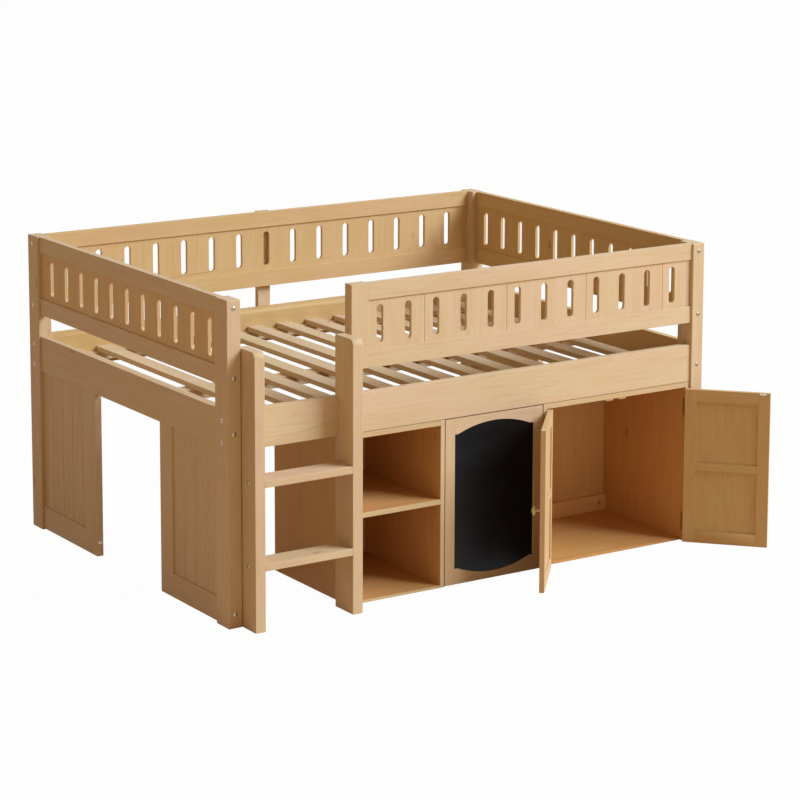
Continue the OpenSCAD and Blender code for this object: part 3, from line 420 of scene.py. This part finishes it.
# The ladder: two uprights, rounded at the top and notched behind to sit over the side rail,
# and two steps that butt between them on bolts.
finish_board(["ladder_left_upright", "ladder_right_upright"], upright_pine, 0.0014)
finish_board(["ladder_steps"], long_pine, 0.0016, 3)

# The upright boards of the cabinet are glued up from narrow strips of pine. They stand on the
# floor under the side rail and carry the bottoms, the shelf and the tops between them.
cabinet_strip = 0.072
finish_board(["cabinet_left_side"],
             pine("outer_board_pine", upright, (0.67, 0.43, 0.21), across_bed, cabinet_strip))
# The dividers and the right side take a darker, redder tone, which is painted shade of the inside
# of the cabinet. Their front edges are painted lighter, as lit.
shaded_side_board_pine = pine("shaded_side_board_pine", upright, (0.62, 0.345, 0.14), across_bed, cabinet_strip,
                       front=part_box("cabinet_dividers")[0][1])
finish_board(["cabinet_dividers", "cabinet_right_side"], shaded_side_board_pine)

# The tops, bottoms and the cubby's shelf are glued up from strips that run along the bed, and
# fit between the upright boards.
# The flat boards' darker, redder tone is painted shade of the inside of the cabinet, and their
# front edges are painted lighter, as lit.
shaded_flat_board_pine = pine("shaded_flat_board_pine", along_bed, (0.59, 0.325, 0.12), across_bed,
                       cabinet_strip, gloss=0.05, front=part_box("cabinet_floors")[0][1])
finish_board(["cabinet_tops", "cabinet_floors", "cubby_shelf"], shaded_flat_board_pine)

# The thin backs close the cubby and the cupboard, and a batten stiffens the cupboard's back
# along the floor.
back_board_pine = pine("back_board_pine", upright, (0.74, 0.51, 0.26), along_bed, 0.085)
finish_board(["cabinet_backs"], back_board_pine, 0.0)
finish_board(["cupboard_batten"], pine("batten_pine", along_bed, (0.84, 0.58, 0.31)), 0.001)

# The frame of the chalkboard: two stiles and two rails, the upper one sawn to a shallow arch
# with shoulders, fixed over the middle bay.
finish_board(["chalkboard_stiles"], upright_pine)
finish_board(["chalkboard_rails"], long_pine)


# The chalkboard is hardboard under matt black chalk paint, a little hazy from wiping. It sits
# just behind the faces of its frame.
def chalk_paint():
    paint = Shading("chalk_paint")
    haze = paint.noise(paint.place, 4.0, 0.5, 9.0).outputs["Fac"]
    black, dusty = (0.002, 0.002, 0.0025), (0.0055, 0.0055, 0.006)
    wiped = paint.blend(paint.ramp(haze, 0.35, 0.8), black, dusty)
    paint.feed(paint.bsdf.inputs["Base Color"], wiped)
    paint.feed(paint.bsdf.inputs["Roughness"], paint.ramp(haze, 0.3, 0.7, 0.40, 0.46))
    paint.feed(paint.bsdf.inputs["Specular IOR Level"], 0.24)
    paint.bump(paint.noise(paint.place, 2.0, 0.5, 1400.0).outputs["Fac"], 0.3, 0.0002)
    return paint.material


finish_board(["chalkboard"], chalk_paint(), 0.0)

# The two cupboard doors: stiles and three rails about two thin panels in grooves. They stand
# open on their hinges, so the grain of the rails lies along the open doors.
left_open, right_open = math.radians(131.0), math.radians(133.0)
# The right door's darker tone is painted shade on its inner face, which is turned away from the
# lamp.
door_tone_and_shade = {"left": (0.65, 0.45, 0.24), "right": (0.59, 0.40, 0.185)}
door_along = {"left": Vector((math.cos(left_open), -math.sin(left_open), 0.0)),
              "right": Vector((-math.cos(right_open), -math.sin(right_open), 0.0))}
for side, outward in door_along.items():
    tone, along_door = door_tone_and_shade[side], tuple(outward)
    finish_board([side + "_door_stiles"], pine(side + "_door_stile_pine", upright, tone))
    finish_board([side + "_door_rails"], pine(side + "_door_rail_pine", along_door, tone))
    finish_board([side + "_door_panels"],
                 pine(side + "_door_panel_pine", upright, tone, along_door, 0.075), 0.0)


# The knobs are turned from a pale wood and lacquered, with a yellowish head on a redder stem.
# The stem ends 11 mm in front of the hinge line of the door.
hinge_x = {"left": 1.31975, "right": 1.95025}
hinge_y = 0.007
stem_reach = 0.011


def knob_finish(side, front):
    turned = Shading(side + "_knob_wood")
    out = turned.vector("DOT_PRODUCT", turned.place, tuple(front))
    face = Vector((hinge_x[side], hinge_y, 0.0)).dot(front)
    head = turned.ramp(out, face + stem_reach, face + stem_reach + 0.003)
    rings = turned.vector("MULTIPLY", turned.place, (60.0, 60.0, 260.0))
    rings = turned.noise(rings, 3.0).outputs["Fac"]
    pale = turned.blend(rings, (0.66, 0.60, 0.20), (0.54, 0.46, 0.13))
    stem = turned.blend(rings, (0.70, 0.42, 0.26), (0.58, 0.33, 0.19))
    turned.feed(turned.bsdf.inputs["Base Color"], turned.blend(head, stem, pale))
    turned.feed(turned.bsdf.inputs["Roughness"], turned.ramp(rings, 0.2, 0.8, 0.24, 0.34))
    turned.feed(turned.bsdf.inputs["Coat Weight"], 0.3)
    turned.bump(rings, 0.15, 0.0002)
    return turned.material


door_front = {"left": Vector((-math.sin(left_open), -math.cos(left_open), 0.0)),
              "right": Vector((math.sin(right_open), -math.cos(right_open), 0.0))}
for side, front in door_front.items():
    finish_board([side + "_door_knob"], knob_finish(side, front), 0.0)


# Bolts with domed heads and hexagon sockets, and the threaded inserts they go into, of warm
# plated steel. Two more hold the batten at the back of the cupboard.
def plated_steel(name, tone, roughness, upper=None):
    """Plated steel. upper gives the height above which the fitting is another metal's tone."""
    steel = Shading(name)
    dull_share, brush_scale, patch_scale = 0.82, 600.0, 40.0
    brushed = steel.noise(steel.place, 3.0, 0.5, brush_scale).outputs["Fac"]
    patches = steel.noise(steel.place, 2.0, 0.5, patch_scale).outputs["Fac"]
    dull = tuple(dull_share * value for value in tone)
    steel.feed(steel.bsdf.inputs["Metallic"], 1.0)
    plating = steel.blend(patches, dull, tone)
    if upper is not None:
        height = steel.vector("DOT_PRODUCT", steel.place, upright)
        above = steel.ramp(height, upper[0] - 0.001, upper[0] + 0.001)
        plating = steel.blend(above, plating, upper[1])
    steel.feed(steel.bsdf.inputs["Base Color"], plating)
    steel.feed(steel.bsdf.inputs["Roughness"],
               steel.ramp(brushed, 0.0, 1.0, roughness - 0.06, roughness + 0.1))
    return steel.material


bolt_steel = plated_steel("bolt_steel", (0.47, 0.375, 0.265), 0.30)
finish_board(["bolts", "threaded_inserts"], bolt_steel, 0.0)


def turned_head(mesh, place, out, radius, height, socket, sides):
    """Adds a low turned head whose socket is a polygon of that many sides, or a cross for 4."""
    spot = Matrix.Translation(place) @ out.to_track_quat("Z", "X").to_matrix().to_4x4()

    def circle(reach, count, z):
        turns = [2 * math.pi * k / count for k in range(count)]
        return [(reach * math.cos(turn), reach * math.sin(turn), z) for turn in turns]

    def ring(points):
        return [mesh.verts.new(spot @ Vector(point)) for point in points]

    def wall(low, high):
        for k in range(len(low)):
            after = (k + 1) % len(low)
            mesh.faces.new((low[k], low[after], high[after], high[k]))

    if sides == 4:
        arm, half = socket, socket * 0.3
        cross = [(arm, -half), (arm, half), (half, half), (half, arm), (-half, arm), (-half, half),
                 (-arm, half), (-arm, -half), (-half, -half), (-half, -arm), (half, -arm),
                 (half, -half)]
        hole = [(x, y, height) for x, y in cross]
    else:
        hole = circle(socket, sides, height)
    round_sides = 24
    rings = [ring(circle(reach, round_sides, z)) for reach, z in
             ((radius, 0.0), (radius, height * 0.6), (radius * 0.9, height))]
    for low, high in zip(rings, rings[1:]):
        wall(low, high)
    mouth = ring(hole)
    bottom = ring([(x, y, height * 0.25) for x, y, z in hole])
    rim = rings[-1]
    edges = [mesh.edges.get((rim[k], rim[(k + 1) % round_sides])) for k in range(round_sides)]
    for k in range(len(hole)):
        edges.append(mesh.edges.new((mouth[k], mouth[(k + 1) % len(hole)])))
    bmesh.ops.triangle_fill(mesh, edges=edges, use_beauty=True)
    wall(mouth, bottom)
    mesh.faces.new(bottom)
    mesh.faces.new(rings[0])


def fasteners(name, heads, material, body):
    """Makes one piece of the heads, each with its place, direction, radius, height and socket."""
    mesh = bmesh.new()
    for head in heads:
        turned_head(mesh, *head)
    bmesh.ops.recalc_face_normals(mesh, faces=mesh.faces)
    data = bpy.data.meshes.new(name)
    mesh.to_mesh(data)
    mesh.free()
    data.materials.append(material)
    piece = bpy.data.objects.new(name, data)
    bpy.context.scene.collection.objects.link(piece)
    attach(piece, body)


batten_low, batten_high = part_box("cupboard_batten")
bolt_in, bolt_z, bolt_head = 0.031, 0.041, (0.0065, 0.0024, 0.0025, 6)
forwards = Vector((0.0, -1.0, 0.0))
fasteners("batten_bolts", [(Vector((x, batten_low[1], bolt_z)), forwards, *bolt_head)
                           for x in (batten_low[0] + bolt_in, batten_high[0] - bolt_in)],
          bolt_steel, "bed_frame")

# The butt hinges are dull brass plated steel, and the strike plates for the catches pale steel.
# Each hinge leaf is let in flush and held by three small cross-head screws.
strike_plate_z, strike_plate_tone = 0.55, (0.68, 0.63, 0.56)
hinge_brass = plated_steel("hinge_brass", (0.50, 0.33, 0.16), 0.40,
                           (strike_plate_z, strike_plate_tone))
finish_board(["fixed_hinge_leaves", "left_door_fittings", "right_door_fittings"], hinge_brass, 0.0)
hinge_heights, screw_spacing = (0.075, 0.511), 0.024
screw_in, half_gap, screw_head = 0.0095, 0.00075, (0.003, 0.0004, 0.0016, 4)
screw_heights = [z + k * screw_spacing for z in hinge_heights for k in (-1, 0, 1)]
fixed_screws = []
for side, inward in (("left", 1.0), ("right", -1.0)):
    leaf_x = hinge_x[side] - inward * half_gap
    fixed_screws += [(Vector((leaf_x, hinge_y + screw_in, z)), Vector((inward, 0.0, 0.0)),
                      *screw_head) for z in screw_heights]
    leaf = Vector((hinge_x[side], hinge_y, 0.0)) + half_gap * door_along[side]
    leaf -= screw_in * door_front[side]
    fasteners(side + "_door_hinge_screws",
              [(leaf + Vector((0.0, 0.0, z)), -door_along[side], *screw_head)
               for z in screw_heights], hinge_brass, side + "_door")
fasteners("cabinet_hinge_screws", fixed_screws, hinge_brass, "bed_frame")


# The magnetic catches are small moulded housings of cream plastic, fixed under the cupboard's
# top at the front.
def catch_moulding():
    cream = Shading("catch_plastic")
    marble = cream.noise(cream.place, 3.0, 0.5, 55.0).outputs["Fac"]
    cream.feed(cream.bsdf.inputs["Base Color"],
               cream.blend(cream.ramp(marble, 0.3, 0.7), (1.0, 0.90, 0.76), (0.95, 0.82, 0.66)))
    cream.feed(cream.bsdf.inputs["Roughness"], cream.ramp(marble, 0.3, 0.7, 0.42, 0.5))
    cream.bump(cream.noise(cream.place, 2.0, 0.5, 1600.0).outputs["Fac"], 0.2, 0.0002)
    return cream.material


finish_board(["magnetic_catches"], catch_moulding(), 0.0008)

# The dowels between the stiles and the rails are plain pegs of bare wood, out of sight in the
# joints.
finish_board(["dowels"], bare_pine, 0.0)
